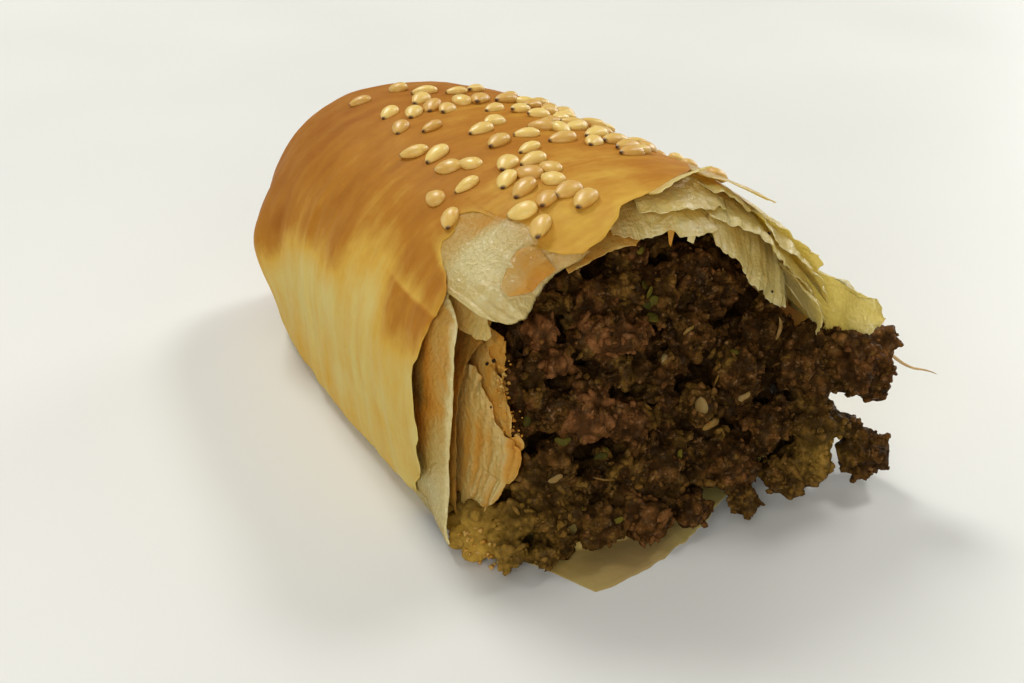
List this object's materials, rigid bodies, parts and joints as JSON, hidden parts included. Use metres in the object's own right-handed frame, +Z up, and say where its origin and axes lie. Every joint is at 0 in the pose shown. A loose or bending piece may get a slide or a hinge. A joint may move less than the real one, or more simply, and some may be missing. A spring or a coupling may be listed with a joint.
{
  "type": "briouat",
  "caption": "Filo pastry roll with a spiced mince filling, broken open at an end to show torn sheets and crumbly meat, with sesame on its crown.",
  "frame": {"origin": "on the flat base, under the middle of the roll", "axes": "+Y along the roll from the torn end to the folded end, +Z up out of the crown, +X to the right as seen from the torn end"},
  "size_m": [0.0471, 0.075, 0.0327],
  "materials": {
    "pastry": "baked filo, glossy and golden brown on the crown, pale and papery at the sides and the torn end, with toasted sesame",
    "filling": "moist cooked mince, dark brown with pinkish lumps, onion and green herbs"
  },
  "bodies": {
    "root": {"pastry": "pastry", "filling": "filling"}
  },
  "joints": []
}
